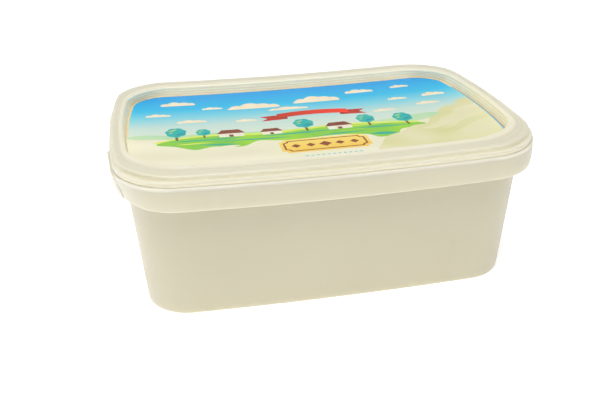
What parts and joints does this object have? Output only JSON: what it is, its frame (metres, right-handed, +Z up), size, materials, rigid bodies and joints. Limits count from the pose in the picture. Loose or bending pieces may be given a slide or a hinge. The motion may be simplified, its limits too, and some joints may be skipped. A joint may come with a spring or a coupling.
{
  "type": "yogurt tub",
  "caption": "Shut rectangular dairy tub with a tapered wall, a skirted rim with tear-off seals, and a push-on lid with a raised ring round a printed panel.",
  "frame": {"origin": "centre of the base, on the surface that the tub stands on", "axes": "+X along the long side, +Y across towards the back, +Z up"},
  "size_m": [0.181, 0.1326, 0.0675],
  "materials": {
    "tub_plastic": "satin moulded polypropylene, cream white",
    "lid_plastic": "satin moulded polypropylene, cream white",
    "label_film": "satin printed film, sky blue over cream and green"
  },
  "bodies": {
    "root": {"tub": "tub_plastic", "lid": "lid_plastic", "label": "label_film"}
  },
  "joints": []
}
